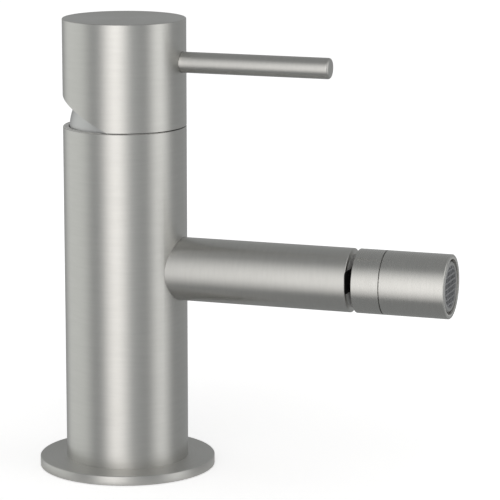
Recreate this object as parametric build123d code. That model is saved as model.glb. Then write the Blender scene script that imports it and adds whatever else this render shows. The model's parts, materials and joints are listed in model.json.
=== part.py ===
from build123d import *
import os
from math import cos, radians, sin, sqrt, tan

# A bidet mixer. A round body stands on a base flange and carries a tilting head with a pin lever.
# A level spout tube ends in a nozzle that swivels on a ball joint and holds an aerator.
# Lengths are in millimetres and angles in degrees. Z runs up the body and X runs along the spout.
# The origin is the centre of the flange's underside, where the fixing stud leaves.

# Overall
overall_height = 155.0
spout_reach = 115.0
lever_reach = 73.0
cut_overrun = 3.0

# Fits between pieces
running_gap = 0.05
seat_gap = 0.05
push_gap = 0.1
thread_gap = 0.15
seal_gap = 0.03

# Joint angles
lift_angle = 25.0
relief_angle = 26.5

# Ceramic cartridge, from the cross pin downwards
cartridge_radius = 17.3
cartridge_play = 0.3
pin_sink = 0.9
pin_radius = 1.5
pin_inset = 0.5
tip_drop = 9.3
tip_radius = 2.6
arm_radius = 2.2
carrier_side_gap = 1.4
carrier_floor = 1.2
carrier_rise = 1.2
carrier_peg_radius = 1.1
carrier_peg_height = 1.0
carrier_peg_inset = 1.4
disc_offset = 2.2
disc_thickness = 3.4
mixing_pocket_radius = 4.0
mixing_pocket_depth = 1.8
mixing_pocket_shift = 0.6
fixed_disc_thickness = 3.4
base_thickness = 4.2
port_radius = 3.0
disc_inlet_radius = 2.2
disc_inlet_x = 3.6
disc_inlet_y = 4.6
disc_outlet_radius = 2.4
disc_outlet_x = -2.4
peg_radius = 1.4
peg_length = 2.2
peg_inset = 2.8
seal_width = 1.3
seal_depth = 1.2

# Cartridge rotor and housing
rotor_flange_height = 3.0
rotor_gap = 0.6
rotor_stand = 0.8
rotor_corner = 0.6
guide_width = 2.4
guide_length = 8.0
guide_lift = 0.8
guide_inset = 2.8
housing_side_wall = 2.7
housing_shoulder_width = 2.2
housing_wall = 1.5
housing_lip = 1.6
housing_shoulder_rise = 2.0
housing_collar_rise = 4.0
stem_groove_depth = 1.0
stem_groove_width = 1.4
stem_groove_rise = 0.5

# Spindle
spindle_width = 8.0
spindle_top_gap = 0.5
spindle_slot_margin = 0.35
spindle_slot_gap = 0.15

# Ring nut and cover dome
nut_bite = 1.35
nut_collar_gap = 0.2
nut_slot_count = 6
nut_slot_width = 3.0
nut_slot_depth = 1.5
dome_gap = 0.3
dome_wall = 1.5
dome_skirt = 0.95
dome_opening_radius = 13.2

# Body
body_wall = 1.9
body_edge = 0.25
foot_step = 2.6
inlet_x = 4.5
inlet_y = 8.5
inlet_thread_radius = 4.5
inlet_thread_depth = 12.0
outlet_x = -6.5
stud_hole_radius = 3.4
stud_hole_depth = 18.0
waterway_radius = 3.5
waterway_end_wall = 1.0

# Base flange and gasket
flange_thickness = 3.2
flange_margin = 9.2
flange_edge = 0.2
gasket_width = 4.0
gasket_thickness = 1.4
gasket_inset = 5.5

# Head
head_height = 36.3
joint_gap = 0.3
head_edge = 0.2
head_roof = 6.0
dome_clearance = 0.4
relief_start = 1.5

# Lever and grub screw
lever_radius = 3.55
lever_drop = 14.2
lever_tip_round = 0.9
lever_root_edge = 0.35
lever_hole_depth = 2.0
lever_hole_play = 0.08
lever_tail_radius = 2.95
grub_length = 5.3
grub_gap = 1.1
grub_key_width = 3.0
grub_key_depth = 2.6

# Aerator
aerator_radius = 9.2
aerator_thread_length = 7.4
aerator_rim_radius = 8.4
aerator_rim_wall = 1.2
aerator_rim_recess = 0.2
aerator_rim_edge = 0.3
aerator_ledge = 0.6
aerator_length = 10.7
washer_thickness = 1.5
washer_width = 2.5
flow_plate_thickness = 1.5
flow_plate_inset = 1.6
flow_hole_radius = 0.6
flow_inner_circle = 2.8
flow_inner_count = 6
flow_outer_circle = 5.2
flow_outer_count = 12
grille_thickness = 1.2
grille_recess = 0.1
grille_pitch = 1.9
grille_hole_width = 1.35
grille_border = 0.35

# Nozzle sleeve
sleeve_wall = 1.5
sleeve_length = 21.95
sleeve_edge = 0.2
sleeve_skirt_wall = 1.15
sleeve_skirt_length = 4.55
sleeve_waterway_radius = 5.0
boss_length = 2.8
boss_gap = 0.2
cone_clearance = 0.085

# Swivel collar and ball joint
seam_gap = 0.35
collar_length = 9.4
collar_edge = 0.2
swivel_gap = 2.1
ball_radius = 7.4
ball_inset = 6.7
ball_lip = 4.0
ball_step = 1.0
ball_front = 5.2
neck_radius = 4.2
neck_mouth_radius = 6.9
stem_waterway_radius = 2.6
stem_head_radius = 6.0
stem_head_length = 4.0
seat_ring_wall = 0.95
seat_ring_start = 1.2
seat_ring_end = 5.6

# Spout
spout_drop = 48.4
spout_wall = 2.0
spout_edge = 0.15
spigot_step = 1.5
spigot_length = 7.0
spigot_end_x = 10.0
spigot_waterway_radius = 7.0
spigot_waterway_run = 3.0
spigot_groove_depth = 1.0
spigot_groove_width = 2.0
spigot_groove_inset = 2.5
plug_length = 9.2
plug_groove_depth = 1.4
plug_groove_width = 2.2
plug_groove_inset = 3.5

# Radii that follow from the cartridge inwards
housing_bore_radius = cartridge_radius - housing_side_wall
fixed_disc_radius = housing_bore_radius - push_gap
carrier_radius = housing_bore_radius - disc_offset - carrier_side_gap
housing_collar_radius = cartridge_radius - housing_shoulder_width
rotor_bore_radius = housing_collar_radius - housing_wall
rotor_flange_radius = rotor_bore_radius - cartridge_play
housing_neck_radius = rotor_bore_radius - housing_lip
rotor_neck_radius = housing_neck_radius - push_gap
carrier_half_width = rotor_flange_radius - guide_inset - guide_width - push_gap
carrier_peg_y = carrier_half_width - carrier_peg_inset - carrier_peg_radius
peg_y = cartridge_radius - peg_inset

# Radii that follow from the cartridge outwards
chamber_radius = cartridge_radius + cartridge_play
nut_radius = chamber_radius + nut_bite
collar_bore_radius = nut_radius + thread_gap
body_radius = collar_bore_radius + body_wall
dome_radius = collar_bore_radius - dome_gap
head_cavity_radius = dome_radius + dome_clearance
foot_radius = body_radius - foot_step
flange_bore_radius = foot_radius + push_gap
flange_radius = body_radius + flange_margin

# Heights that follow from the top of the body downwards
head_bottom = overall_height - head_height
body_top = head_bottom - joint_gap
spout_height = body_top - spout_drop
pin_height = body_top - pin_sink
tip_height = pin_height - tip_drop
carrier_bottom = tip_height - tip_radius - push_gap - carrier_floor
carrier_top = tip_height + carrier_rise
disc_top = carrier_bottom - seat_gap
disc_bottom = disc_top - disc_thickness
fixed_disc_top = disc_bottom - seal_gap
fixed_disc_bottom = fixed_disc_top - fixed_disc_thickness
base_top = fixed_disc_bottom - seat_gap
base_bottom = base_top - base_thickness
seat_height = base_bottom - push_gap
rotor_bottom = carrier_top + rotor_gap
rotor_flange_top = rotor_bottom + rotor_flange_height
housing_shoulder = rotor_bottom + housing_shoulder_rise
housing_top = pin_height + housing_collar_rise
rotor_top = housing_top + rotor_stand
nut_bottom = housing_shoulder + seat_gap
nut_top = pin_height - dome_skirt - seat_gap
lever_height = overall_height - lever_drop
spindle_bore_top = overall_height - head_roof
spindle_top = spindle_bore_top - spindle_top_gap
spindle_bore_width = spindle_width + push_gap + push_gap
lever_tail_bore_radius = lever_tail_radius + running_gap

# Places along the lever that follow from the spindle outwards
grub_start = spindle_bore_width / 2 + seat_gap
grub_end = grub_start + grub_length
lever_tail_start = grub_end + grub_gap

# Places along the spout that follow from the nozzle's mouth backwards
sleeve_start = spout_reach - sleeve_length
collar_end = sleeve_start - seam_gap
collar_start = collar_end - collar_length
ball_x = collar_start + ball_inset
spout_end = collar_start - swivel_gap
sleeve_floor = sleeve_start + sleeve_skirt_length
boss_start = sleeve_floor - boss_length
aerator_front = spout_reach - aerator_rim_recess
aerator_back = aerator_front - aerator_length
aerator_seat = aerator_back - washer_thickness - seat_gap - seat_gap
plug_start = spout_end - plug_length
spigot_shoulder = spigot_end_x + spigot_length

# Radii that follow from the aerator outwards
aerator_bore_radius = aerator_radius + push_gap
spout_radius = aerator_bore_radius + sleeve_wall
sleeve_skirt_radius = spout_radius - sleeve_skirt_wall
collar_spigot_radius = sleeve_skirt_radius - running_gap
ball_socket_radius = ball_radius + running_gap
seat_ring_radius = ball_socket_radius + seat_ring_wall
collar_cup_radius = seat_ring_radius + push_gap
spout_bore_radius = spout_radius - spout_wall
spigot_radius = spout_radius - spigot_step
plug_radius = spout_bore_radius - running_gap
stem_bore_radius = neck_radius + running_gap
spigot_socket_radius = spigot_radius + running_gap
aerator_front_bore = aerator_rim_radius - aerator_rim_wall
aerator_ledge_radius = aerator_front_bore - aerator_ledge

# Port positions under the cartridge: x, y, radius at the body and x, y, radius at the fixed disc
ports = [
    ((inlet_x, -inlet_y, port_radius), (disc_inlet_x, -disc_inlet_y, disc_inlet_radius)),
    ((inlet_x, inlet_y, port_radius), (disc_inlet_x, disc_inlet_y, disc_inlet_radius)),
    ((outlet_x, 0, port_radius), (disc_outlet_x, 0, disc_outlet_radius)),
]

# Frames for turned pieces: outlines are drawn along the frame's axis first and across it second
upright = Plane((0, 0, 0), x_dir=(0, 0, 1), z_dir=(0, 1, 0))
along_spout = Plane((0, 0, spout_height), x_dir=(1, 0, 0), z_dir=(0, -1, 0))
along_lever = Plane((0, 0, lever_height), x_dir=(1, 0, 0), z_dir=(0, -1, 0))


def turned(frame, *runs):
    """Solid turned about the frame's axis from the lines and arcs of its half section."""
    section = make_face([edge for run in runs for edge in run.edges()])
    return revolve(frame * section, Axis(frame.origin, frame.x_dir))


def turned_outline(frame, *corners):
    """Solid turned about the frame's axis from the corners of its half section."""
    return turned(frame, Polyline(*corners, close=True))


def ring(frame, inner_radius, outer_radius, start, end):
    """Plain ring or disc on the frame's axis, between two places along it."""
    corners = [(start, inner_radius), (start, outer_radius), (end, outer_radius), (end, inner_radius)]
    return turned_outline(frame, *corners)


def across_sphere(radius, along):
    """Distance from the axis to a sphere's surface, at a place along the axis from its centre."""
    return sqrt(radius**2 - along**2)


def sphere_arc(centre, radius, start, end):
    """Arc of a sphere's half section, between two places measured from its centre."""
    places = [start, (start + end) / 2, end]
    return ThreePointArc(*[(centre + place, across_sphere(radius, place)) for place in places])


def upright_hole(x, y, radius, bottom, top):
    """Round cutter that stands at a place in plan."""
    return Pos(x, y, bottom) * Cylinder(radius, top - bottom, align=(Align.CENTER, Align.CENTER, Align.MIN))


def seal_ring(frame, floor_radius, wall_radius, place):
    """Round seal that fills the depth of its groove between two radii."""
    section_radius = (wall_radius - floor_radius) / 2 - seal_gap
    middle_radius = (wall_radius + floor_radius) / 2
    section = Pos(place, middle_radius) * Circle(section_radius)
    return revolve(frame * section, Axis(frame.origin, frame.x_dir))


def mixer_body():
    """Cast and turned body with the cartridge chamber, the tapped feet and the spout's socket."""
    body = turned_outline(
        upright,
        (0, 0),
        (0, foot_radius),
        (flange_thickness, foot_radius),
        (flange_thickness, body_radius),
        (body_top - body_edge, body_radius),
        (body_top, body_radius - body_edge),
        (body_top, collar_bore_radius),
        (rotor_bottom, collar_bore_radius),
        (rotor_bottom, chamber_radius),
        (seat_height, chamber_radius),
        (seat_height, 0),
    )
    body -= upright_hole(0, 0, stud_hole_radius, 0, stud_hole_depth)
    for side in (-1, 1):
        y = side * inlet_y
        body -= upright_hole(inlet_x, y, inlet_thread_radius, 0, inlet_thread_depth)
        body -= upright_hole(inlet_x, y, port_radius, 0, seat_height + cut_overrun)
        body -= upright_hole(0, side * peg_y, peg_radius + push_gap, seat_height - peg_length, pin_height)
    body -= upright_hole(outlet_x, 0, port_radius, spout_height, seat_height + cut_overrun)
    waterway_start = outlet_x - port_radius - waterway_end_wall
    body -= ring(along_spout, 0, waterway_radius, waterway_start, spigot_end_x)
    body -= ring(along_spout, 0, spigot_socket_radius, spigot_end_x - push_gap, spigot_shoulder)
    body_side = body_radius + cut_overrun
    body -= ring(along_spout, 0, spout_radius + running_gap, spigot_shoulder, body_side)
    return body


def base_flange():
    """Flat ring that hides the hole in the ceramic, grooved below for its gasket."""
    gasket_inner = flange_bore_radius + gasket_inset
    gasket_outer = gasket_inner + gasket_width
    groove_depth = gasket_thickness + push_gap
    return turned_outline(
        upright,
        (0, flange_bore_radius),
        (0, gasket_inner - push_gap),
        (groove_depth, gasket_inner - push_gap),
        (groove_depth, gasket_outer + push_gap),
        (0, gasket_outer + push_gap),
        (0, flange_radius),
        (flange_thickness - flange_edge, flange_radius),
        (flange_thickness, flange_radius - flange_edge),
        (flange_thickness, flange_bore_radius),
    )


def base_gasket():
    """Flat rubber ring in the flange's groove, level with the underside."""
    gasket_inner = flange_bore_radius + gasket_inset
    return ring(upright, gasket_inner, gasket_inner + gasket_width, 0, gasket_thickness)


def cartridge_base():
    """Plastic base with three slanting ports, seal recesses and two locating pegs."""
    base = ring(upright, 0, cartridge_radius, base_bottom, base_top)
    for side in (-1, 1):
        base += upright_hole(0, side * peg_y, peg_radius, base_bottom - peg_length, base_top)
    for lower, upper in ports:
        low_circle = Pos(lower[0], lower[1], base_bottom) * Circle(lower[2])
        high_circle = Pos(upper[0], upper[1], base_top) * Circle(upper[2])
        base -= loft([low_circle, high_circle])
        seal_radius = lower[2] + seal_width + push_gap
        base -= upright_hole(lower[0], lower[1], seal_radius, base_bottom, base_bottom + seal_depth)
    return base


def port_seals():
    """Three rubber rings between the base's ports and the body's seat."""
    seals = []
    for lower, upper in ports:
        seal_top = base_bottom + seal_depth
        outside = upright_hole(lower[0], lower[1], lower[2] + seal_width, seat_height, seal_top)
        seals.append(outside - upright_hole(lower[0], lower[1], lower[2], seat_height, base_top))
    return Compound(children=[seal.solid() for seal in seals])


def fixed_disc():
    """Ceramic disc with two inlet holes and one outlet hole."""
    disc = ring(upright, 0, fixed_disc_radius, fixed_disc_bottom, fixed_disc_top)
    for lower, upper in ports:
        disc -= upright_hole(upper[0], upper[1], upper[2], fixed_disc_bottom, fixed_disc_top)
    return disc


def carrier_pegs(radius, bottom, top):
    """Pair of short pegs that join the carrier to the moving disc."""
    pegs = Part()
    for side in (-1, 1):
        pegs += upright_hole(-disc_offset, side * carrier_peg_y, radius, bottom, top)
    return pegs


def moving_disc():
    """Ceramic disc whose round pocket joins the inlets to the outlet when it slides forward."""
    disc = Pos(-disc_offset, 0) * ring(upright, 0, carrier_radius, disc_bottom, disc_top)
    pocket_x = -disc_offset - mixing_pocket_shift
    disc -= upright_hole(pocket_x, 0, mixing_pocket_radius, disc_bottom, disc_bottom + mixing_pocket_depth)
    disc -= carrier_pegs(carrier_peg_radius + push_gap, disc_top - carrier_peg_height - push_gap, disc_top)
    return disc


def disc_carrier():
    """Flat-sided plastic block that the spindle's ball tip pushes to and fro."""
    carrier = Pos(-disc_offset, 0) * ring(upright, 0, carrier_radius, carrier_bottom, carrier_top)
    carrier &= Pos(0, 0, carrier_bottom) * Box(
        (carrier_radius + disc_offset) * 2,
        carrier_half_width * 2,
        carrier_top - carrier_bottom,
        align=(Align.CENTER, Align.CENTER, Align.MIN),
    )
    socket_bottom = carrier_bottom + carrier_floor
    carrier -= upright_hole(0, 0, tip_radius + thread_gap, socket_bottom, carrier_top)
    carrier += carrier_pegs(carrier_peg_radius, carrier_bottom - carrier_peg_height, carrier_bottom)
    return carrier


def cartridge_housing():
    """Plastic housing that holds the discs together and guides the rotor's neck."""
    return turned_outline(
        upright,
        (fixed_disc_bottom, housing_bore_radius),
        (fixed_disc_bottom, cartridge_radius),
        (housing_shoulder, cartridge_radius),
        (housing_shoulder, housing_collar_radius),
        (housing_top, housing_collar_radius),
        (housing_top, housing_neck_radius),
        (rotor_flange_top + push_gap, housing_neck_radius),
        (rotor_flange_top + push_gap, rotor_bore_radius),
        (rotor_bottom - push_gap, rotor_bore_radius),
        (rotor_bottom - push_gap, housing_bore_radius),
    )


def cartridge_nut():
    """Threaded ring nut with spanner slots, which presses on the housing's shoulder."""
    nut = ring(upright, housing_collar_radius + nut_collar_gap, nut_radius, nut_bottom, nut_top)
    slot_floor = nut_top - nut_slot_depth
    slot = Pos(nut_radius, 0, slot_floor) * Box(
        nut_radius - housing_collar_radius + cut_overrun,
        nut_slot_width,
        nut_slot_depth + cut_overrun,
        align=(Align.CENTER, Align.CENTER, Align.MIN),
    )
    return nut - PolarLocations(0, nut_slot_count) * slot


def cover_dome():
    """Bright dome over the nut, which the head slides over as it tilts."""
    inner_radius = dome_radius - dome_wall
    outer_top = across_sphere(dome_radius, dome_opening_radius)
    inner_top = across_sphere(inner_radius, dome_opening_radius)
    skirt_bottom = pin_height - dome_skirt
    return turned(
        upright,
        Polyline((pin_height, inner_radius), (skirt_bottom, inner_radius), (skirt_bottom, dome_radius)),
        Line((skirt_bottom, dome_radius), (pin_height, dome_radius)),
        sphere_arc(pin_height, dome_radius, 0, outer_top),
        Line((pin_height + outer_top, dome_opening_radius), (pin_height + inner_top, dome_opening_radius)),
        sphere_arc(pin_height, inner_radius, inner_top, 0),
    )


def cartridge_rotor():
    """Turning part of the cartridge, slotted for the spindle, with two guides for the carrier."""
    groove_bottom = rotor_flange_top + stem_groove_rise
    groove_top = groove_bottom + stem_groove_width
    groove_radius = rotor_neck_radius - stem_groove_depth
    rotor = turned_outline(
        upright,
        (rotor_bottom, 0),
        (rotor_bottom, rotor_flange_radius),
        (rotor_flange_top, rotor_flange_radius),
        (rotor_flange_top, rotor_neck_radius),
        (groove_bottom, rotor_neck_radius),
        (groove_bottom, groove_radius),
        (groove_top, groove_radius),
        (groove_top, rotor_neck_radius),
        (rotor_top - rotor_corner, rotor_neck_radius),
        (rotor_top, rotor_neck_radius - rotor_corner),
        (rotor_top, 0),
    )
    guide_bottom = disc_top + guide_lift
    for side in (-1, 1):
        guide_y = side * (carrier_half_width + push_gap + guide_width / 2)
        rotor += Pos(0, guide_y, guide_bottom) * Box(
            guide_length,
            guide_width,
            rotor_flange_top - guide_bottom,
            align=(Align.CENTER, Align.CENTER, Align.MIN),
        )
    swing = radians(lift_angle)
    half_width = spindle_width / 2
    slot_above = half_width / cos(swing) + (rotor_top - pin_height) * tan(swing)
    slot_below = tip_drop * sin(swing) + tip_radius
    slot_reach = max(slot_above, slot_below) + spindle_slot_margin
    rotor -= Pos(0, 0, rotor_bottom - cut_overrun) * Box(
        slot_reach * 2,
        spindle_width + spindle_slot_gap * 2,
        rotor_top - rotor_bottom + cut_overrun * 2,
        align=(Align.CENTER, Align.CENTER, Align.MIN),
    )
    return rotor - cross_pin_hole(pin_radius + seal_gap, body_radius)


def cross_pin_hole(radius, half_length):
    """Round bar across the body at the height of the cross pin."""
    return Pos(0, 0, pin_height) * Rot(90, 0, 0) * Cylinder(radius, half_length * 2)


def pivot_pin():
    """Steel cross pin that the spindle tilts on."""
    return cross_pin_hole(pin_radius, rotor_neck_radius - pin_inset)


def spindle():
    """Square steel spindle with an eye for the cross pin, an arm and a ball tip."""
    half_width = spindle_width / 2
    blade = Pos(0, pin_height) * Circle(half_width)
    blade += Pos(0, (pin_height + spindle_top) / 2) * Rectangle(spindle_width, spindle_top - pin_height)
    stem = extrude(Plane.XZ * blade, amount=half_width, both=True)
    stem += upright_hole(0, 0, arm_radius, tip_height, pin_height - pin_radius - seal_gap)
    stem += Pos(0, 0, tip_height) * Sphere(tip_radius)
    return stem - cross_pin_hole(pin_radius + running_gap, spindle_width)


def handle_head():
    """Solid head with a ball-shaped hollow below and a slanting relief at the back."""
    head = turned_outline(
        upright,
        (head_bottom, 0),
        (head_bottom, body_radius),
        (overall_height - head_edge, body_radius),
        (overall_height, body_radius - head_edge),
        (overall_height, 0),
    )
    head -= Pos(0, 0, pin_height) * Sphere(head_cavity_radius)
    back = -body_radius - cut_overrun
    back_height = head_bottom + (relief_start - back) * tan(radians(relief_angle))
    relief = Polyline((relief_start, head_bottom), (back, back_height), (back, head_bottom), close=True)
    head -= extrude(Plane.XZ * make_face(relief), amount=body_radius + cut_overrun, both=True)
    head -= Pos(0, 0, pin_height) * Box(
        spindle_bore_width,
        spindle_bore_width,
        spindle_bore_top - pin_height,
        align=(Align.CENTER, Align.CENTER, Align.MIN),
    )
    head_side = body_radius + cut_overrun
    head -= ring(along_lever, 0, lever_tail_bore_radius, 0, head_side)
    lever_seat = body_radius - lever_hole_depth
    return head - ring(along_lever, 0, lever_radius + lever_hole_play, lever_seat, head_side)


def lever_rod():
    """Thin round lever with a stepped tail that screws into the head."""
    shoulder = body_radius - lever_hole_depth + seat_gap
    rod = turned_outline(
        along_lever,
        (lever_tail_start, 0),
        (lever_tail_start, lever_tail_radius),
        (shoulder, lever_tail_radius),
        (shoulder, lever_radius - lever_root_edge),
        (shoulder + lever_root_edge, lever_radius),
        (lever_reach, lever_radius),
        (lever_reach, 0),
    )
    tip_rim = rod.edges().filter_by(GeomType.CIRCLE).sort_by(Axis.X)[-1]
    return fillet(tip_rim, lever_tip_round)


def grub_screw():
    """Headless screw behind the lever's tail, with a hexagon socket, tight against the spindle."""
    screw = ring(along_lever, 0, lever_tail_radius, grub_start, grub_end)
    key_floor = Pos(grub_end - grub_key_depth, 0, lever_height) * Rot(0, 90, 0)
    key = key_floor * RegularPolygon(grub_key_width / 2, 6)
    return screw - extrude(key, amount=grub_key_depth + cut_overrun)


def spout_tube():
    """Drawn tube with a turned-down spigot that seats in the body's side."""
    groove_start = spigot_end_x + spigot_groove_inset
    groove_end = groove_start + spigot_groove_width
    groove_radius = spigot_radius - spigot_groove_depth
    waterway_end = spigot_shoulder + spigot_waterway_run
    return turned_outline(
        along_spout,
        (spigot_end_x, spigot_waterway_radius),
        (spigot_end_x, spigot_radius),
        (groove_start, spigot_radius),
        (groove_start, groove_radius),
        (groove_end, groove_radius),
        (groove_end, spigot_radius),
        (spigot_shoulder + seat_gap, spigot_radius),
        (spigot_shoulder + seat_gap, spout_radius),
        (spout_end - spout_edge, spout_radius),
        (spout_end, spout_radius - spout_edge),
        (spout_end, spout_bore_radius),
        (waterway_end, spout_bore_radius),
        (waterway_end, spigot_waterway_radius),
    )


def spout_oring():
    """Seal in the spigot's groove."""
    place = spigot_end_x + spigot_groove_inset + spigot_groove_width / 2
    return seal_ring(along_spout, spigot_radius - spigot_groove_depth, spigot_socket_radius, place)


def nose_plug():
    """Plug that closes the spout's end round the ball stem."""
    groove_start = plug_start + plug_groove_inset
    groove_end = groove_start + plug_groove_width
    groove_radius = plug_radius - plug_groove_depth
    return turned_outline(
        along_spout,
        (plug_start, stem_bore_radius),
        (plug_start, plug_radius),
        (groove_start, plug_radius),
        (groove_start, groove_radius),
        (groove_end, groove_radius),
        (groove_end, plug_radius),
        (spout_end, plug_radius),
        (spout_end, stem_bore_radius),
    )


def plug_oring():
    """Seal in the nose plug's groove."""
    place = plug_start + plug_groove_inset + plug_groove_width / 2
    return seal_ring(along_spout, plug_radius - plug_groove_depth, spout_bore_radius, place)


def ball_stem():
    """Black plastic stem with a head behind the plug and a drilled ball with a flat front."""
    head_end = plug_start - seat_gap
    ball_back = across_sphere(ball_radius, neck_radius)
    front_radius = across_sphere(ball_radius, ball_front)
    back_arc = sphere_arc(ball_x, ball_radius, -ball_back, ball_front)
    tail = Polyline(
        (ball_x + ball_front, front_radius),
        (ball_x + ball_front, stem_waterway_radius),
        (head_end - stem_head_length, stem_waterway_radius),
        (head_end - stem_head_length, stem_head_radius),
        (head_end, stem_head_radius),
        (head_end, neck_radius),
        (ball_x - ball_back, neck_radius),
    )
    return turned(along_spout, back_arc, tail)


def ball_seat():
    """Plastic seat ring, a zone of a sphere, which closes the socket in front of the ball."""
    inner_start = across_sphere(ball_socket_radius, seat_ring_start)
    outer_start = across_sphere(seat_ring_radius, seat_ring_start)
    inner_end = across_sphere(ball_socket_radius, seat_ring_end)
    outer_end = across_sphere(seat_ring_radius, seat_ring_end)
    start = ball_x + seat_ring_start
    end = ball_x + seat_ring_end
    return turned(
        along_spout,
        Line((start, inner_start), (start, outer_start)),
        sphere_arc(ball_x, seat_ring_radius, seat_ring_start, seat_ring_end),
        Line((end, outer_end), (end, inner_end)),
        sphere_arc(ball_x, ball_socket_radius, seat_ring_end, seat_ring_start),
    )


def swivel_collar():
    """Short collar that grips the ball from behind, with a spigot that the nozzle sleeve screws over."""
    lip_radius = across_sphere(ball_socket_radius, ball_lip)
    step_radius = across_sphere(ball_socket_radius, ball_step)
    spigot_end = sleeve_floor - push_gap
    outside = Polyline(
        (ball_x - ball_lip, lip_radius),
        (collar_start, neck_mouth_radius),
        (collar_start, spout_radius - collar_edge),
        (collar_start + collar_edge, spout_radius),
        (collar_end, spout_radius),
        (collar_end, collar_spigot_radius),
        (spigot_end, collar_spigot_radius),
        (spigot_end, collar_cup_radius),
        (ball_x - ball_step, collar_cup_radius),
        (ball_x - ball_step, step_radius),
    )
    return turned(along_spout, outside, sphere_arc(ball_x, ball_socket_radius, -ball_step, -ball_lip))


def nozzle_sleeve():
    """Outer sleeve of the nozzle, with a skirt over the collar and the aerator's bore in front."""
    boss_radius = collar_cup_radius - boss_gap
    cone_reach = ball_x + (seat_ring_radius + cone_clearance) * sqrt(2)
    cone_end = cone_reach - sleeve_waterway_radius
    return turned_outline(
        along_spout,
        (sleeve_start, sleeve_skirt_radius),
        (sleeve_start, spout_radius),
        (spout_reach - sleeve_edge, spout_radius),
        (spout_reach, spout_radius - sleeve_edge),
        (spout_reach, aerator_bore_radius),
        (aerator_seat, aerator_bore_radius),
        (aerator_seat, sleeve_waterway_radius),
        (cone_end, sleeve_waterway_radius),
        (boss_start, cone_reach - boss_start),
        (boss_start, boss_radius),
        (sleeve_floor, boss_radius),
        (sleeve_floor, sleeve_skirt_radius),
    )


def aerator_washer():
    """Rubber washer between the nozzle's shoulder and the aerator."""
    start = aerator_seat + seat_gap
    return ring(along_spout, aerator_radius - washer_width, aerator_radius, start, start + washer_thickness)


def aerator_body():
    """Threaded ring with a ledge for the flow plate behind and one for the grille in front."""
    plate_ledge = aerator_back + flow_plate_inset + flow_plate_thickness + seat_gap
    grille_ledge = aerator_front - grille_recess - grille_thickness - seat_gap
    thread_end = aerator_back + aerator_thread_length
    return turned_outline(
        along_spout,
        (aerator_back, aerator_front_bore),
        (aerator_back, aerator_radius),
        (thread_end, aerator_radius),
        (thread_end, aerator_rim_radius),
        (aerator_front - aerator_rim_edge, aerator_rim_radius),
        (aerator_front, aerator_rim_radius - aerator_rim_edge),
        (aerator_front, aerator_front_bore),
        (grille_ledge, aerator_front_bore),
        (grille_ledge, aerator_ledge_radius),
        (plate_ledge, aerator_ledge_radius),
        (plate_ledge, aerator_front_bore),
    )


def flow_plate():
    """Disc with two circles of small holes that break the water into jets."""
    start = aerator_back + flow_plate_inset
    radius = aerator_front_bore - running_gap
    plate = Circle(radius)
    plate -= PolarLocations(flow_inner_circle, flow_inner_count) * Circle(flow_hole_radius)
    plate -= PolarLocations(flow_outer_circle, flow_outer_count) * Circle(flow_hole_radius)
    return extrude(Pos(start, 0, spout_height) * Rot(0, 90, 0) * plate, amount=flow_plate_thickness)


def aerator_grille():
    """Square grid in the mouth, open wherever a cell lies inside its round border."""
    radius = aerator_front_bore - running_gap
    cells = int(2 * radius / grille_pitch)
    cells += cells % 2
    openings = Sketch() + GridLocations(grille_pitch, grille_pitch, cells, cells) * Rectangle(
        grille_hole_width, grille_hole_width
    )
    openings &= Circle(radius - grille_border)
    start = aerator_front - grille_recess - grille_thickness
    return extrude(
        Pos(start, 0, spout_height) * Rot(0, 90, 0) * (Circle(radius) - openings),
        amount=grille_thickness,
    )


def stem_oring():
    """Seal between the rotor's neck and the housing."""
    place = rotor_flange_top + stem_groove_rise + stem_groove_width / 2
    return seal_ring(upright, rotor_neck_radius - stem_groove_depth, housing_neck_radius, place)


sub_parts = [
    mixer_body,
    base_flange,
    base_gasket,
    cartridge_base,
    port_seals,
    fixed_disc,
    cartridge_housing,
    cartridge_nut,
    cover_dome,
    spout_tube,
    spout_oring,
    nose_plug,
    plug_oring,
    ball_stem,
    cartridge_rotor,
    stem_oring,
    pivot_pin,
    moving_disc,
    disc_carrier,
    handle_head,
    lever_rod,
    grub_screw,
    spindle,
    ball_seat,
    swivel_collar,
    nozzle_sleeve,
    aerator_washer,
    aerator_body,
    flow_plate,
    aerator_grille,
]

os.makedirs("parts", exist_ok=True)
for make in sub_parts:
    export_step(make(), f"parts/{make.__name__}.step")
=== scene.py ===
import bmesh
import bpy
import json
from math import ceil, cos, radians, sin, tau
from mathutils import Matrix, Quaternion, Vector


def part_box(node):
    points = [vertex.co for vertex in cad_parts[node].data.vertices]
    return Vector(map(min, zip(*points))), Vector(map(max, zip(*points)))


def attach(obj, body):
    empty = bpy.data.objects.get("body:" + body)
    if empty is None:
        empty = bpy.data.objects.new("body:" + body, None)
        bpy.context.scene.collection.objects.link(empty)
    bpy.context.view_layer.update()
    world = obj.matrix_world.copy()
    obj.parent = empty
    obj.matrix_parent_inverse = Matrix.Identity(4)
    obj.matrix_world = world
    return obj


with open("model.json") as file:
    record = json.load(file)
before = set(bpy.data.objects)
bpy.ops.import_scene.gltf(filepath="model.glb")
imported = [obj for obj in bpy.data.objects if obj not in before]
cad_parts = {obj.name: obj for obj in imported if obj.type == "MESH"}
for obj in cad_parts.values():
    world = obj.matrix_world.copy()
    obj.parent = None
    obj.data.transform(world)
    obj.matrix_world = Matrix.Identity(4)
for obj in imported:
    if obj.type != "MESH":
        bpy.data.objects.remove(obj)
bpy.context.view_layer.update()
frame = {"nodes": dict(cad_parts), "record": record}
nodes = frame["nodes"]

# A bidet mixer in brushed nickel, in metres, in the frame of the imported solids.
# The body stands on Z. The spout and the lever lie along X.

MM = 0.001


def centre_of(node):
    """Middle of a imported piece, which for a turned piece is a point on its axis."""
    low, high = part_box(node)
    return (low + high) / 2


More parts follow.
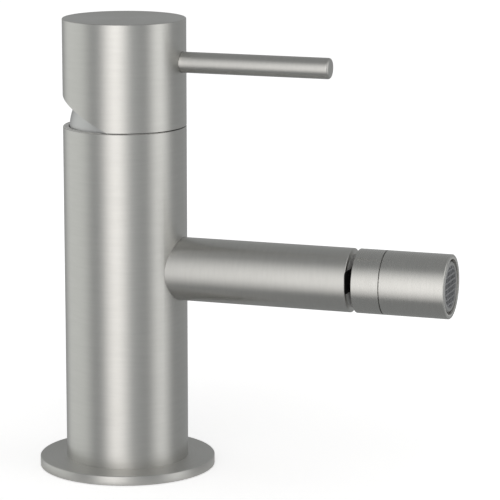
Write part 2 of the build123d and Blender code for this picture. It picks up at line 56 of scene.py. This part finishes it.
# Pieces that are turned about the spout's or the lever's axis. The rest are upright.
spout_axis = centre_of("spout_tube")
lever_axis = centre_of("lever_rod")
spout_pieces = (
    "spout_tube", "spout_oring", "nose_plug", "plug_oring", "ball_stem", "ball_seat",
    "swivel_collar", "nozzle_sleeve", "aerator_washer", "aerator_body", "flow_plate",
    "aerator_grille",
)
lever_pieces = ("lever_rod", "grub_screw")

# Camera
camera_place = Vector((0.34625, -0.89635, 0.26628))
camera_aim = Vector((-0.3126, 0.9296, -0.1953))
camera_lens = 205.66
camera_sensor = 36.0
camera_near = 0.01

# World and lamps
white_level = 1.0
room_light = 0.45
studio_centre = Vector((0.02, 0, 0.08))
softbox_distance = 0.9
softbox_lean = -10

# Walls, whose levels go with shares of their height
wall_radius = 3.0
wall_segments = 48
wall_heights = (0.2, 0.45, 0.64, 1.0)
wall_levels = (0.284, 0.377, 0.372, 0.306)
wall_tint = Vector((0.98, 1.0, 1.0))

# Floor
floor_radius = 2.5
floor_segments = 96
floor_drop = 0.2 * MM
floor_colour = (0.8, 0.8, 0.8)
floor_roughness = 0.9
floor_glow = 0.53
floor_far_glow = 0.68
floor_fade = (0.05, 0.3)
floor_mirror_share = 0.1
mirrored_radius = 0.034
mirrored_blend = 0.5 * MM

# Marks of turning and brushing. The gloss is stretched across them, a quarter turn away.
line_pitch = 0.17 * MM
line_wander = 1.2
line_detail = 2
line_share = 0.35
line_depth = 0.0003 * MM
line_roughness = 0.04
streak_pitch = 1.1 * MM
streak_wander = 2.2
streak_detail = 3
mark_contrast = (0.25, 0.75)
radius_weight = 1.618
gloss_turn = 0.25

# Grain and clouds
grain_detail = 2
cloud_detail = 4
grain_contrast = (0.3, 0.7)
metal_cloud_size = 14 * MM
metal_cloud_roughness = 0.03

# Metals, named by the record's slots or by the one piece that has them
nickel_tones = {"dark": (0.590, 0.583, 0.562), "light": (0.640, 0.632, 0.609)}
brass_tones = {"dark": (0.60, 0.46, 0.21), "light": (0.68, 0.53, 0.26)}
metals = {
    "brushed_nickel": dict(nickel_tones, roughness=0.33, anisotropic=0.6),
    "flange_nickel": dict(nickel_tones, roughness=0.33, anisotropic=0.5),
    "nozzle_nickel": dict(nickel_tones, roughness=0.26, anisotropic=0.6),
    "dome_nickel": dict(
        dark=(0.60, 0.60, 0.60), light=(0.64, 0.64, 0.635), roughness=0.42, anisotropic=0.4
    ),
    "satin_nickel": dict(
        dark=(0.56, 0.56, 0.555), light=(0.60, 0.60, 0.595), roughness=0.5, anisotropic=0.2
    ),
    "steel": dict(
        dark=(0.48, 0.48, 0.49), light=(0.57, 0.57, 0.57), roughness=0.28, anisotropic=0.4,
        streaks=0.6 * MM,
    ),
    "brass": dict(brass_tones, roughness=0.3, anisotropic=0.3, streaks=0.7 * MM),
}

# Plastics, named by the record's slots, and that of the nose plug
plastics = {
    "white_plastic": dict(dark=(0.78, 0.78, 0.76), light=(0.84, 0.84, 0.82), roughness=0.42),
    "black_plastic": dict(
        dark=(0.009, 0.009, 0.009), light=(0.014, 0.014, 0.014), roughness=0.55,
        Specular_IOR_Level=0.3,
    ),
    "grey_plastic": dict(dark=(0.20, 0.205, 0.215), light=(0.26, 0.265, 0.275), roughness=0.45),
    "nose_plastic": dict(dark=(0.74, 0.74, 0.73), light=(0.80, 0.80, 0.79), roughness=0.55),
}

# Where a finish changes on a piece: radii from its axis, and the body's top rim
finish_blend = 0.1 * MM
bare_radius = 18.7 * MM
face_dullness = 0.12
face_radius = 29.9 * MM
mouth_radius = 9.8 * MM
mouth_polish = 0.5
body_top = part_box("mixer_body")[1].z
rim_depth = 0.12 * MM
rim_polish = 0.15
# Painted shade of the joint under the head, on the rim towards the lever: where it lies along X,
# and its colour
painted_shade_span = (17.5 * MM, 20 * MM)
painted_shade_colour = (0.16, 0.155, 0.15)

# Meshes of the scene's own
merge_distance = 0.001 * MM
sharp_angle = radians(35)

# Threads in the holes under the body
inlet_forward = 4.5 * MM
inlet_side = 8.5 * MM
inlet_radius = 4.5 * MM
inlet_thread_length = 12 * MM
stud_hole_radius = 3.4 * MM
stud_thread_length = 18 * MM
thread_pitch = 1.0 * MM
thread_depth_share = 0.6
thread_lead_in = 0.8 * MM
thread_steps_per_turn = 40

# Painted shade of the swivel gap: a black strip on the nose of the spout
shade_strip_radius = 10.6 * MM
shade_strip_segments = 96
shade_strip_half_height = 3.8 * MM
shade_strip_rise = -0.75 * MM
shade_strip_corner = 2.4 * MM
shade_strip_corner_segments = 6
shade_strip_height = 0.12 * MM
shade_strip_sink = 0.1 * MM

# Numbers of the Mix node's colour sockets, which share their names with others
MIX_SHARE, MIX_FIRST, MIX_SECOND, MIX_RESULT = 0, 6, 7, 2


# ---------------------------------------------------------------- small helpers

def put(tree, kind, inputs=None, **settings):
    """Adds a shader node. Each input is a value, or the output that is linked to it."""
    made = tree.nodes.new(kind)
    for key, value in settings.items():
        setattr(made, key, value)
    for key, value in (inputs or {}).items():
        if isinstance(value, bpy.types.NodeSocket):
            tree.links.new(value, made.inputs[key])
        else:
            made.inputs[key].default_value = value
    return made


def reckon(tree, operation, *terms, clamp=False):
    """Output of one step of arithmetic on numbers or outputs."""
    terms = dict(enumerate(terms))
    step = put(tree, "ShaderNodeMath", terms, operation=operation, use_clamp=clamp)
    return step.outputs["Value"]


def spread(tree, value, low, high, start=0.0, end=1.0, interpolation="LINEAR"):
    """Maps a value that runs from start to end onto low to high."""
    ends = {"From Min": start, "From Max": end, "To Min": low, "To Max": high}
    inputs = {"Value": value, **ends}
    scale = put(tree, "ShaderNodeMapRange", inputs, interpolation_type=interpolation)
    return scale.outputs["Result"]


def beyond(tree, value, start, end):
    """Nothing where a value is under start, one where it is past end."""
    return spread(tree, value, 0.0, 1.0, start, end)


def blend_colours(tree, share, first, second):
    """Colour between two colours, as a share says. Each is three numbers or an output."""
    inputs = {MIX_SHARE: share}
    for key, colour in ((MIX_FIRST, first), (MIX_SECOND, second)):
        inputs[key] = colour if isinstance(colour, bpy.types.NodeSocket) else (*colour, 1)
    return put(tree, "ShaderNodeMix", inputs, data_type="RGBA").outputs[MIX_RESULT]


def object_place(tree):
    """Object coordinates."""
    return put(tree, "ShaderNodeTexCoord").outputs["Object"]


def split_place(tree, place):
    """The X, Y and Z of a place."""
    return put(tree, "ShaderNodeSeparateXYZ", {0: place}).outputs


def length_of(tree, place):
    """Distance of a place from the origin."""
    return put(tree, "ShaderNodeVectorMath", {0: place}, operation="LENGTH").outputs["Value"]


def new_group(name, inputs, outputs):
    """Empty shader group with named sockets, and its start and end."""
    group = bpy.data.node_groups.new(name, "ShaderNodeTree")
    for socket, kind in inputs.items():
        group.interface.new_socket(socket, in_out="INPUT", socket_type="NodeSocket" + kind)
    for socket in outputs:
        group.interface.new_socket(socket, in_out="OUTPUT", socket_type="NodeSocketFloat")
    start = group.nodes.new("NodeGroupInput")
    end = group.nodes.new("NodeGroupOutput")
    return group, start, end


def use_group(tree, name, inputs):
    """Places a shared group in a material and returns its outputs."""
    group = bpy.data.node_groups[name]
    return put(tree, "ShaderNodeGroup", inputs, node_tree=group).outputs


def new_material(name, **values):
    """Material with one Principled surface, whose even values are set on its own sockets."""
    material = bpy.data.materials.new(name)
    material.use_nodes = True
    tree = material.node_tree
    surface = tree.nodes["Principled BSDF"]
    for key, value in values.items():
        surface.inputs[key.replace("_", " ")].default_value = value
    return material, tree, surface


def glowing_material(name):
    """Material with an empty tree, for a lamp or a wall."""
    material = bpy.data.materials.new(name)
    material.use_nodes = True
    material.node_tree.nodes.clear()
    return material, material.node_tree


def feed(tree, surface, socket, output):
    """Links an output to a socket of the surface."""
    tree.links.new(output, surface.inputs[socket])


def fed_by(surface, socket):
    """Output that already feeds a socket of the surface."""
    return surface.inputs[socket].links[0].from_socket


def raise_surface(tree, surface, height, depth):
    """Gives a surface the relief of a height, as deep as it says in metres."""
    inputs = {"Height": height, "Distance": depth, "Strength": 1.0}
    feed(tree, surface, "Normal", put(tree, "ShaderNodeBump", inputs).outputs["Normal"])


def object_from(name, shape, material):
    """Object at the origin from a bmesh, with its place in its mesh."""
    mesh = bpy.data.meshes.new(name)
    shape.to_mesh(mesh)
    shape.free()
    mesh.materials.append(material)
    made = bpy.data.objects.new(name, mesh)
    bpy.context.scene.collection.objects.link(made)
    return made


def finished_piece(name, shape, material):
    """Piece from a bmesh, merged, faced outwards and smooth between its sharp edges."""
    bmesh.ops.remove_doubles(shape, verts=shape.verts, dist=merge_distance)
    bmesh.ops.recalc_face_normals(shape, faces=shape.faces)
    for face in shape.faces:
        face.smooth = True
    piece = object_from(name, shape, material)
    piece.data.set_sharp_from_angle(angle=sharp_angle)
    return piece


def everything_in(shape):
    """All the points, edges and faces of a bmesh."""
    return shape.verts[:] + shape.edges[:] + shape.faces[:]


# ---------------------------------------------------------------- camera and studio

def add_camera():
    """The photograph's viewpoint."""
    lens = bpy.data.cameras.new("photo_camera")
    lens.lens = camera_lens
    lens.sensor_width = camera_sensor
    lens.clip_start = camera_near
    camera = bpy.data.objects.new("photo_camera", lens)
    camera.location = camera_place
    camera.rotation_euler = camera_aim.to_track_quat("-Z", "Y").to_euler()
    bpy.context.scene.collection.objects.link(camera)
    bpy.context.scene.camera = camera


def seen_share(tree, path, mirror_share):
    """One where the camera sees it directly, and a share in reflections and through glass."""
    glossy, through = path["Is Glossy Ray"], path["Is Transmission Ray"]
    mirrored = reckon(tree, "ADD", glossy, through, clamp=True)
    camera = path["Is Camera Ray"]
    return reckon(tree, "MULTIPLY_ADD", mirrored, mirror_share, camera, clamp=True)


def add_world():
    """White background, and a softer even light on the object."""
    world = bpy.data.worlds.new("studio_world")
    world.use_nodes = True
    tree = world.node_tree
    path = put(tree, "ShaderNodeLightPath").outputs
    strength = spread(tree, seen_share(tree, path, 1.0), room_light, white_level)
    background = tree.nodes["Background"]
    background.inputs["Color"].default_value = (1, 1, 1, 1)
    tree.links.new(strength, background.inputs["Strength"])
    bpy.context.scene.world = world


def soft_falloff_group():
    """Brightness of a soft panel: full in the middle, easing to nothing at its four edges."""
    inputs = {"Place": "Vector", "Softness Across": "Float", "Softness Up": "Float"}
    group, start, end = new_group("soft falloff", inputs, ["Brightness"])
    split = split_place(group, start.outputs["Place"])
    sides = []
    for axis, softness in (("X", "Softness Across"), ("Y", "Softness Up")):
        distance = reckon(group, "ABSOLUTE", split[axis])
        full_until = reckon(group, "SUBTRACT", 1.0, start.outputs[softness])
        sides.append(spread(group, distance, 0.0, 1.0, 1.0, full_until, "SMOOTHSTEP"))
    group.links.new(reckon(group, "MULTIPLY", *sides), end.inputs["Brightness"])


def lamp_cloth(name, width, height, radiance, softness, colour):
    """Glowing cloth of a soft lamp, clear where it doesn't glow."""
    material, tree = glowing_material(name)
    inputs = {"Vector": object_place(tree), "Scale": (2 / width, 2 / height, 1)}
    unit_place = put(tree, "ShaderNodeMapping", inputs).outputs["Vector"]
    inputs = {"Place": unit_place, "Softness Across": softness[0], "Softness Up": softness[1]}
    falloff = use_group(tree, "soft falloff", inputs)
    strength = reckon(tree, "MULTIPLY", falloff["Brightness"], radiance)
    glow = put(tree, "ShaderNodeEmission", {"Color": (*colour, 1), "Strength": strength})
    clear = put(tree, "ShaderNodeBsdfTransparent")
    both = put(tree, "ShaderNodeAddShader", {0: glow.outputs[0], 1: clear.outputs[0]})
    put(tree, "ShaderNodeOutputMaterial", {"Surface": both.outputs[0]})
    return material


def add_softbox(
    name, azimuth, elevation, width, height, radiance, colour, softness=(1, 1), lean=0
):
    """Soft lamp panel that faces the mixer, with azimuth 0 in front and 90 at its right."""
    turn = radians(azimuth)
    rise = radians(elevation)
    direction = Vector((sin(turn) * cos(rise), -cos(turn) * cos(rise), sin(rise)))
    shape = bmesh.new()
    bmesh.ops.create_grid(shape, x_segments=1, y_segments=1, size=1)
    bmesh.ops.scale(shape, verts=shape.verts, vec=(width / 2, height / 2, 1))
    cloth = lamp_cloth(name, width, height, radiance, softness, colour)
    panel = object_from(name, shape, cloth)
    panel.location = studio_centre + direction * softbox_distance
    facing = direction.to_track_quat("Z", "Y") @ Quaternion((0, 0, 1), radians(lean))
    panel.rotation_euler = facing.to_euler()
    panel.visible_camera = False
    panel.visible_shadow = False
    panel.visible_transmission = False


def add_walls():
    """Grey studio walls that only the metal sees, brightest level with the mixer."""
    material, tree = glowing_material("studio_walls")
    height = split_place(tree, object_place(tree))["Z"]
    rise = beyond(tree, height, -wall_radius, wall_radius)
    ramp = put(tree, "ShaderNodeValToRGB", {"Fac": rise})
    ramp.color_ramp.interpolation = "EASE"
    stops = ramp.color_ramp.elements
    for position in wall_heights[1:-1]:
        stops.new(position)
    for stop, position, level in zip(stops, wall_heights, wall_levels):
        stop.position = position
        stop.color = (*(wall_tint * level), 1)
    glow = put(tree, "ShaderNodeEmission", {"Color": ramp.outputs["Color"]})
    put(tree, "ShaderNodeOutputMaterial", {"Surface": glow.outputs[0]})
    shape = bmesh.new()
    bmesh.ops.create_uvsphere(
        shape, u_segments=wall_segments, v_segments=wall_segments // 2, radius=wall_radius
    )
    bmesh.ops.reverse_faces(shape, faces=shape.faces)
    walls = object_from("studio_walls", shape, material)
    for way in ("camera", "diffuse", "shadow", "transmission", "volume_scatter"):
        setattr(walls, "visible_" + way, False)


def add_floor():
    """Pale floor, white to the camera except for the mixer's soft shadow.

    Reflections see it near the flange, and further out they see the lower halves of the lamps.
    From below it is clear, so that the underside shows.
    """
    material, tree, surface = new_material(
        "pale_floor",
        Base_Color=(*floor_colour, 1),
        Roughness=floor_roughness,
        Specular_IOR_Level=0.0,
        Emission_Color=(1, 1, 1, 1),
    )
    path = put(tree, "ShaderNodeLightPath").outputs
    seen = seen_share(tree, path, floor_mirror_share)
    distance = length_of(tree, object_place(tree))
    brightness = spread(tree, distance, floor_glow, floor_far_glow, *floor_fade, "SMOOTHSTEP")
    feed(tree, surface, "Emission Strength", reckon(tree, "MULTIPLY", seen, brightness))
    edge = (mirrored_radius - mirrored_blend, mirrored_radius + mirrored_blend)
    far = beyond(tree, distance, *edge)
    skipped = reckon(tree, "MULTIPLY", far, path["Is Glossy Ray"])
    below = put(tree, "ShaderNodeNewGeometry").outputs["Backfacing"]
    unseen = reckon(tree, "MAXIMUM", skipped, below)
    clear = put(tree, "ShaderNodeBsdfTransparent")
    inputs = {0: unseen, 1: surface.outputs[0], 2: clear.outputs[0]}
    both = put(tree, "ShaderNodeMixShader", inputs)
    tree.links.new(both.outputs[0], tree.nodes["Material Output"].inputs["Surface"])
    shape = bmesh.new()
    bmesh.ops.create_circle(shape, cap_ends=True, segments=floor_segments, radius=floor_radius)
    floor = object_from("studio_floor", shape, material)
    floor.location.z = -floor_drop


# ---------------------------------------------------------------- effects that finishes share

def turned_lines_group():
    """Fine lines and broader streaks left by lathe and brush, round the Z axis of Place."""
    inputs = {"Place": "Vector", "Line Pitch": "Float", "Streak Pitch": "Float"}
    group, start, end = new_group("turned lines", inputs, ["Lines", "Streaks", "Radius"])
    split = split_place(group, start.outputs["Place"])
    flat = put(group, "ShaderNodeCombineXYZ", {"X": split["X"], "Y": split["Y"]}).outputs[0]
    radius = length_of(group, flat)
    around = put(group, "ShaderNodeVectorMath", {0: flat}, operation="NORMALIZE").outputs[0]
    # Height and radius are added unevenly, so that a flat face, a side and a bevel have lines.
    along = reckon(group, "MULTIPLY_ADD", radius, radius_weight, split["Z"])
    marks = (
        ("Lines", "Line Pitch", line_wander, line_detail),
        ("Streaks", "Streak Pitch", streak_wander, streak_detail),
    )
    for output, pitch, wander, detail in marks:
        inputs = {0: around, "Scale": wander}
        turned = put(group, "ShaderNodeVectorMath", inputs, operation="SCALE").outputs[0]
        turn = split_place(group, turned)
        row = reckon(group, "DIVIDE", along, start.outputs[pitch])
        spot = put(group, "ShaderNodeCombineXYZ", {"X": turn["X"], "Y": turn["Y"], "Z": row})
        inputs = {"Vector": spot.outputs[0], "Scale": 1.0, "Detail": detail}
        noise = put(group, "ShaderNodeTexNoise", inputs).outputs["Fac"]
        group.links.new(spread(group, noise, 0.0, 1.0, *mark_contrast), end.inputs[output])
    group.links.new(radius, end.inputs["Radius"])


def grain_group():
    """Fine even grain, and slow clouds that are soft patches of tone or gloss."""
    inputs = {"Place": "Vector", "Grain Size": "Float", "Cloud Size": "Float"}
    group, start, end = new_group("grain", inputs, ["Grain", "Clouds"])
    marks = (("Grain", "Grain Size", grain_detail), ("Clouds", "Cloud Size", cloud_detail))
    for output, size, detail in marks:
        scale = reckon(group, "DIVIDE", 1.0, start.outputs[size])
        inputs = {"Vector": start.outputs["Place"], "Scale": scale, "Detail": detail}
        noise = put(group, "ShaderNodeTexNoise", inputs).outputs["Fac"]
        group.links.new(spread(group, noise, 0.0, 1.0, *grain_contrast), end.inputs[output])


# ---------------------------------------------------------------- finishes

def axis_place(tree, axis):
    """Object coordinates with the Z axis along the piece's own axis."""
    place = object_place(tree)
    if axis == "upright":
        return place
    centre = spout_axis if axis == "spout" else lever_axis
    inputs = {"Vector": place, "Location": centre, "Rotation": (0, radians(90), 0)}
    return put(tree, "ShaderNodeMapping", inputs, vector_type="TEXTURE").outputs["Vector"]


def turned_metal(name, axis, dark, light, roughness, anisotropic, streaks=streak_pitch):
    """Metal with the marks of turning or brushing round its axis, and with slow clouds.

    Gives the material, its tree, its surface, and the outputs of the marks.
    """
    material, tree, surface = new_material(
        f"{name}_{axis}",
        Metallic=1.0,
        Anisotropic=anisotropic,
        Anisotropic_Rotation=gloss_turn,
    )
    place = axis_place(tree, axis)
    inputs = {"Place": place, "Line Pitch": line_pitch, "Streak Pitch": streaks}
    marks = use_group(tree, "turned lines", inputs)
    wear = use_group(tree, "grain", {"Place": place, "Cloud Size": metal_cloud_size})
    broad = reckon(tree, "MULTIPLY", marks["Streaks"], 1 - line_share)
    tone = reckon(tree, "MULTIPLY_ADD", marks["Lines"], line_share, broad)
    feed(tree, surface, "Base Color", blend_colours(tree, tone, dark, light))
    middle = roughness - metal_cloud_roughness / 2
    fine = spread(tree, marks["Lines"], middle - line_roughness, middle + line_roughness)
    clouded = reckon(tree, "MULTIPLY_ADD", wear["Clouds"], metal_cloud_roughness, fine)
    feed(tree, surface, "Roughness", clouded)
    raise_surface(tree, surface, marks["Lines"], line_depth)
    if axis != "upright":
        tangent = put(tree, "ShaderNodeTangent", direction_type="RADIAL", axis="X")
        feed(tree, surface, "Tangent", tangent.outputs[0])
    return material, tree, surface, marks


def body_nickel():
    """Brushed nickel plate outside, and the bare cast brass where the body is bored.

    The rim under the head is blasted, and towards the lever it is painted dark as the shade of
    the joint under the head.
    """
    made = turned_metal("body_nickel", "upright", **metals["brushed_nickel"])
    material, tree, surface, marks = made
    brass = blend_colours(tree, marks["Streaks"], brass_tones["dark"], brass_tones["light"])
    edge = (bare_radius - finish_blend, bare_radius + finish_blend)
    outside = beyond(tree, marks["Radius"], *edge)
    split = split_place(tree, object_place(tree))
    on_rim = beyond(tree, split["Z"], body_top - rim_depth, body_top - rim_depth / 2)
    # Painted shade: the rim towards the lever is coloured dark for the shade in the joint under
    # the head.
    painted_shade = reckon(tree, "MULTIPLY", on_rim, beyond(tree, split["X"], *painted_shade_span))
    clean = blend_colours(tree, outside, brass, fed_by(surface, "Base Color"))
    feed(tree, surface, "Base Color", blend_colours(tree, painted_shade, clean, painted_shade_colour))
    polish = spread(tree, reckon(tree, "SUBTRACT", on_rim, painted_shade), 1.0, rim_polish)
    feed(tree, surface, "Metallic", polish)
    return material


def flange_nickel():
    """Brushed nickel that is duller on the flange's face than on its edge."""
    made = turned_metal("flange_nickel", "upright", **metals["flange_nickel"])
    material, tree, surface, marks = made
    edge = (face_radius, face_radius + finish_blend)
    face = spread(tree, marks["Radius"], face_dullness, 0.0, *edge)
    dulled = reckon(tree, "ADD", fed_by(surface, "Roughness"), face)
    feed(tree, surface, "Roughness", dulled)
    return material


def nozzle_nickel():
    """Finely brushed nickel outside, and a blasted finish inside the nozzle's mouth."""
    made = turned_metal("nozzle_nickel", "spout", **metals["nozzle_nickel"])
    material, tree, surface, marks = made
    edge = (mouth_radius, mouth_radius + finish_blend)
    polish = spread(tree, marks["Radius"], mouth_polish, 1.0, *edge)
    feed(tree, surface, "Metallic", polish)
    return material


def grained_finish(
    name, dark, light, roughness, swing=0.05, grain=0.12 * MM, clouds=6 * MM,
    relief=0.002 * MM, **even_values,
):
    """Moulded or lapped surface with a fine grain and a faint unevenness of colour."""
    material, tree, surface = new_material(name, **even_values)
    inputs = {"Place": object_place(tree), "Grain Size": grain, "Cloud Size": clouds}
    wear = use_group(tree, "grain", inputs)
    feed(tree, surface, "Base Color", blend_colours(tree, wear["Clouds"], dark, light))
    rough = spread(tree, wear["Grain"], roughness - swing, roughness + swing)
    feed(tree, surface, "Roughness", rough)
    raise_surface(tree, surface, wear["Grain"], relief)
    return material


def lapped_ceramic():
    """Hard white ceramic with a fine lapped face."""
    return grained_finish(
        "lapped_ceramic",
        dark=(0.86, 0.85, 0.80),
        light=(0.92, 0.91, 0.88),
        roughness=0.21,
        grain=0.05 * MM,
        clouds=8 * MM,
        relief=0.0004 * MM,
        Coat_Weight=0.3,
        Coat_Roughness=0.08,
    )


def seal_rubber():
    """Matt black rubber with a dusty mould bloom."""
    return grained_finish(
        "seal_rubber",
        dark=(0.016, 0.016, 0.017),
        light=(0.034, 0.033, 0.032),
        roughness=0.71,
        swing=0.09,
        grain=0.18 * MM,
        clouds=4 * MM,
        relief=0.004 * MM,
        Specular_IOR_Level=0.35,
        Sheen_Weight=0.15,
    )


def finish_for(slot, axis):
    """Material for one of the record's slots on a piece turned about an axis."""
    if slot in metals:
        return turned_metal(slot, axis, **metals[slot])[0]
    if slot in plastics:
        return grained_finish(slot, **plastics[slot])
    if slot == "ceramic":
        return lapped_ceramic()
    return seal_rubber()


def dress(node, material):
    """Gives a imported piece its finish."""
    nodes[node].material_slots[0].material = material


def dress_packed_pieces():
    """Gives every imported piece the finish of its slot, and some a finish of their own."""
    made = {}
    for subpart in frame["record"]["subparts"]:
        name = subpart["node"]
        axis = "spout" if name in spout_pieces else "lever" if name in lever_pieces else "upright"
        key = (subpart["material_slot"], axis)
        if key not in made:
            made[key] = finish_for(*key)
        dress(name, made[key])
    dress("mixer_body", body_nickel())
    dress("base_flange", flange_nickel())
    dress("cover_dome", turned_metal("dome_nickel", "upright", **metals["dome_nickel"])[0])
    dress("nose_plug", grained_finish("nose_plastic", **plastics["nose_plastic"]))
    nozzle_finish = nozzle_nickel()
    dress("swivel_collar", nozzle_finish)
    dress("nozzle_sleeve", nozzle_finish)
    return made


# ---------------------------------------------------------------- pieces of the scene's own

def add_thread(name, place, radius, length, material):
    """Ridge of a tapped hole, wound up its wall from the underside."""
    depth = thread_pitch * thread_depth_share
    shape = bmesh.new()
    corners = [
        shape.verts.new((radius, 0, 0)),
        shape.verts.new((radius - depth, 0, thread_pitch / 2)),
        shape.verts.new((radius, 0, thread_pitch)),
    ]
    shape.faces.new(corners)
    turns = (length - thread_lead_in) / thread_pitch - 1
    bmesh.ops.spin(
        shape,
        geom=everything_in(shape),
        cent=(0, 0, 0),
        axis=(0, 0, 1),
        dvec=(0, 0, thread_pitch / thread_steps_per_turn),
        angle=tau * turns,
        steps=ceil(turns * thread_steps_per_turn),
    )
    bmesh.ops.translate(shape, verts=shape.verts, vec=place + Vector((0, 0, thread_lead_in)))
    piece = finished_piece(name, shape, material)
    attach(piece, "root")


def add_painted_gap_shade(material):
    """Painted shade of the deep swivel gap: a black strip across the spout's nose, which shows in
    the gap as a dark oval.

    It is cut from a disc that lies flat, with what is up on the spout along X.
    """
    shape = bmesh.new()
    bmesh.ops.create_circle(
        shape, cap_ends=True, segments=shade_strip_segments, radius=shade_strip_radius
    )
    for side in (-1, 1):
        bmesh.ops.bisect_plane(
            shape,
            geom=everything_in(shape),
            plane_co=(side * shade_strip_half_height, 0, 0),
            plane_no=(side, 0, 0),
            clear_outer=True,
        )
    # The cuts left four corners, which are the points furthest up and down.
    corners = sorted(shape.verts, key=lambda vert: abs(vert.co.x))[-4:]
    bmesh.ops.bevel(
        shape,
        geom=corners,
        offset=shade_strip_corner,
        segments=shade_strip_corner_segments,
        profile=0.5,
        affect="VERTICES",
        material=-1,
    )
    lifted = bmesh.ops.extrude_face_region(shape, geom=shape.faces[:])["geom"]
    top = [item for item in lifted if isinstance(item, bmesh.types.BMVert)]
    bmesh.ops.translate(shape, verts=top, vec=(0, 0, shade_strip_height + shade_strip_sink))
    bmesh.ops.translate(shape, verts=shape.verts, vec=(shade_strip_rise, 0, 0))
    upright = Matrix.Rotation(radians(90), 3, "Y")
    bmesh.ops.rotate(shape, verts=shape.verts, cent=(0, 0, 0), matrix=upright)
    nose_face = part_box("spout_tube")[1].x
    place = Vector((nose_face - shade_strip_sink, 0, spout_axis.z))
    bmesh.ops.translate(shape, verts=shape.verts, vec=place)
    piece = finished_piece("painted_gap_shade", shape, material)
    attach(piece, "root")


bpy.context.scene.view_settings.view_transform = "Standard"
soft_falloff_group()
turned_lines_group()
grain_group()

add_camera()
add_world()
add_walls()
add_softbox(
    "front_softbox", azimuth=4, elevation=7.5, width=1.2, height=3.6, radiance=1.1,
    colour=(1.034, 1.0, 0.976), lean=softbox_lean,
)
add_softbox(
    "right_softbox", azimuth=90, elevation=8, width=1.15, height=2.6, radiance=0.9,
    colour=(1.0, 1.0, 0.98), lean=softbox_lean,
)
add_softbox(
    "left_softbox", azimuth=-85, elevation=-2, width=1.9, height=2.8, radiance=0.467,
    colour=(0.98, 1.0, 0.96), softness=(0.75, 1), lean=softbox_lean,
)
add_softbox(
    "fill_softbox", azimuth=8, elevation=10, width=3.0, height=3.2, radiance=0.193,
    colour=(0.96, 1.0, 1.0),
)
add_floor()

finishes = dress_packed_pieces()
# Painted shade of the swivel gap, in the black plastic's finish
add_painted_gap_shade(finishes["black_plastic", "spout"])
thread_brass = finishes["brass", "upright"]
for side, name in ((-1, "cold_inlet_thread"), (1, "hot_inlet_thread")):
    inlet = Vector((inlet_forward, side * inlet_side, 0))
    add_thread(name, inlet, inlet_radius, inlet_thread_length, thread_brass)
add_thread("stud_thread", Vector((0, 0, 0)), stud_hole_radius, stud_thread_length, thread_brass)
